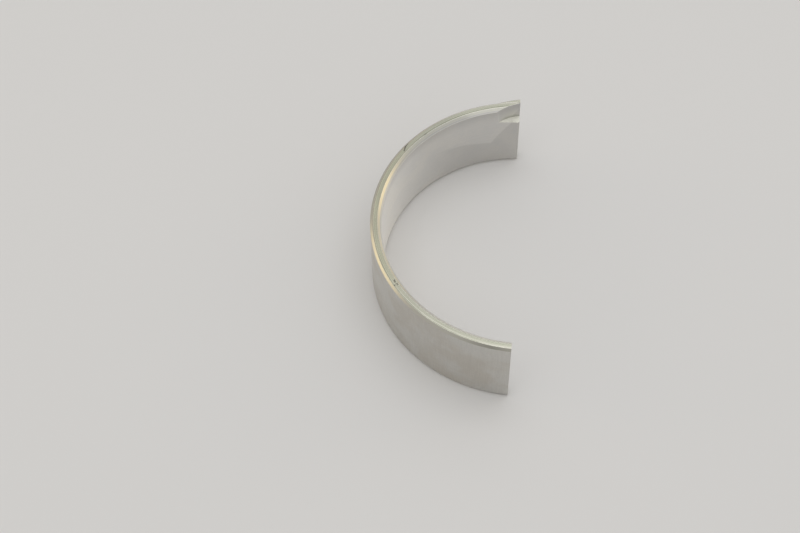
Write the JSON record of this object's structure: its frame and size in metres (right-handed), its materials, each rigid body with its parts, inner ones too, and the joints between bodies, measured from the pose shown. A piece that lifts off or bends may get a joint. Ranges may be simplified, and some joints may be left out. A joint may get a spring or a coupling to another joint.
{
  "type": "engine bearing shell",
  "caption": "Half-round plain bearing shell: a bent steel strip with a smooth lined bore, chamfered edges and a pressed locating lug at one corner.",
  "frame": {"origin": "middle of the footprint, on the plane of the side face that the shell lies on", "axes": "+Z along the bearing's axis, up from the side face it lies on; -X from the joint faces to the crown; +Y towards the end with the locating lug"},
  "size_m": [0.0312, 0.0666, 0.0185],
  "materials": {
    "bearing_shell": "satin grey steel back and side faces, matt grey lining in the bore"
  },
  "bodies": {
    "root": {"bearing_shell": "bearing_shell"}
  },
  "joints": []
}
